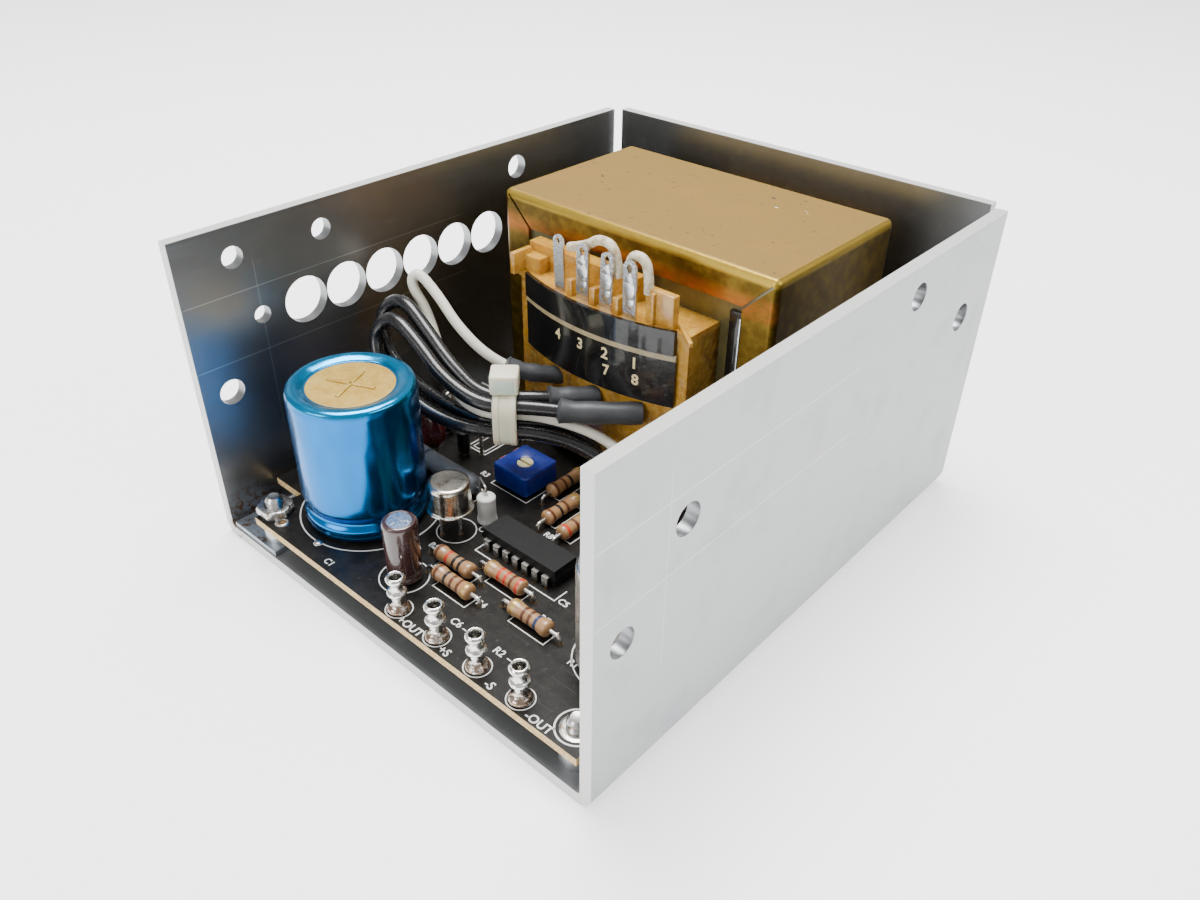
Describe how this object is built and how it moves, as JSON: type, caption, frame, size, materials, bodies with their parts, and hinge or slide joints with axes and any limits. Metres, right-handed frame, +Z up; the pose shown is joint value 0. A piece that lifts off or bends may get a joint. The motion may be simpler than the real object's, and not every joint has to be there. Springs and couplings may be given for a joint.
{
  "type": "open frame linear power supply",
  "caption": "Open-frame linear power supply: bent aluminium chassis with a circuit board, turret outputs and a mains transformer.",
  "frame": {"origin": "centre of the chassis's footprint, on the surface that it stands on", "axes": "+X from the left wall to the right wall, +Y from the open front to the back wall, +Z up"},
  "size_m": [0.1016, 0.1206, 0.0635],
  "materials": {
    "chassis_aluminium": "satin clear-passivated sheet, faint scratches",
    "zinc_plate": "blue zinc plate with specks of rust",
    "fastener_steel": "plated steel fasteners",
    "spacer_metal": "turned spacer",
    "board_mask": "black solder mask over glass-fibre laminate",
    "tinned_wire": "tinned copper wire",
    "solder": "solder fillets",
    "turret_tin": "bright tin plate",
    "blue_sleeve": "shrunk metallic blue sleeve",
    "capacitor_disc": "matt gold end disc",
    "brown_sleeve": "dark shrunk sleeve",
    "pale_sleeve": "silver sleeve",
    "nickel_can": "nickel-plated can",
    "white_sleeve": "white sleeve",
    "chip_epoxy": "moulded epoxy",
    "trimmer_blue": "moulded blue plastic",
    "rotor_cream": "moulded cream plastic",
    "resistor_tan": "tan lacquer with colour bands",
    "resistor_grey": "grey cement coat",
    "disc_red": "dipped dark red coat",
    "diode_black": "moulded body with a silver band",
    "pass_epoxy": "moulded epoxy",
    "mica": "insulating pad",
    "core_steel": "varnished laminations",
    "cover_brass": "baked brown-gold coat",
    "fibre_pad": "fibre sheet",
    "bobbin_amber": "varnished amber moulding",
    "coil_varnish": "varnished winding",
    "black_tape": "varnished black tape",
    "kraft_strip": "kraft paper",
    "lug_tin": "solder-wetted lugs",
    "lead_black": "black insulation",
    "lead_white": "white insulation",
    "sleeve_grey": "grey heat-shrink sleeve",
    "nylon": "natural nylon"
  },
  "bodies": {
    "power_supply": {"back_resistors": "resistor_tan", "black_lead_1": "lead_black", "black_lead_2": "lead_black", "board_spacers": "spacer_metal", "board_washers": "fastener_steel", "bobbin": "bobbin_amber", "cable_tie_head": "nylon", "cable_tie_strap": "nylon", "capacitor_leads": "tinned_wire", "chassis_back_wall": "chassis_aluminium", "chassis_base": "chassis_aluminium", "chassis_left_wall": "chassis_aluminium", "chassis_right_wall": "chassis_aluminium", "circuit_board": "board_mask", "coil": "coil_varnish", "corner_plate": "zinc_plate", "disc_capacitor": "disc_red", "disc_capacitor_leads": "tinned_wire", "driver_transistor": "nickel_can", "driver_transistor_legs": "tinned_wire", "filter_capacitor": "blue_sleeve", "filter_capacitor_disc": "capacitor_disc", "filter_capacitor_pins": "tinned_wire", "front_resistors": "resistor_tan", "insulating_pad": "mica", "lead_sleeves": "sleeve_grey", "little_resistor": "resistor_tan", "lug_links": "lead_white", "negative_output_turret": "turret_tin", "negative_sense_turret": "turret_tin", "number_band": "black_tape", "paper_strip": "kraft_strip", "pass_transistor_case": "pass_epoxy", "pass_transistor_tab": "fastener_steel", "positive_output_turret": "turret_tin", "positive_sense_turret": "turret_tin", "power_resistor": "resistor_grey", "power_resistor_leads": "tinned_wire", "rectifier_diodes": "diode_black", "rectifier_leads": "tinned_wire", "regulator_chip": "chip_epoxy", "regulator_chip_pins": "tinned_wire", "resistor_leads": "tinned_wire", "side_capacitor": "pale_sleeve", "small_capacitor": "brown_sleeve", "small_nuts": "fastener_steel", "small_studs": "fastener_steel", "solder_joints": "solder", "terminal_lugs": "lug_tin", "transformer_core": "core_steel", "transformer_cover": "cover_brass", "transformer_nuts": "fastener_steel", "transformer_pad": "fibre_pad", "transformer_studs": "fastener_steel", "trimmer_housing": "trimmer_blue", "trimmer_pins": "tinned_wire", "upper_band": "black_tape", "upright_capacitor": "white_sleeve", "white_lead": "lead_white"},
    "trimmer_rotor": {"trimmer_rotor": "rotor_cream"}
  },
  "joints": [
    {"name": "trimmer_turn", "type": "hinge", "parent": "power_supply", "child": "trimmer_rotor", "pos_m": [-0.0085, -0.0152, 0.01335], "axis": [0, 0, 1], "range_deg": [-135, 135]}
  ]
}
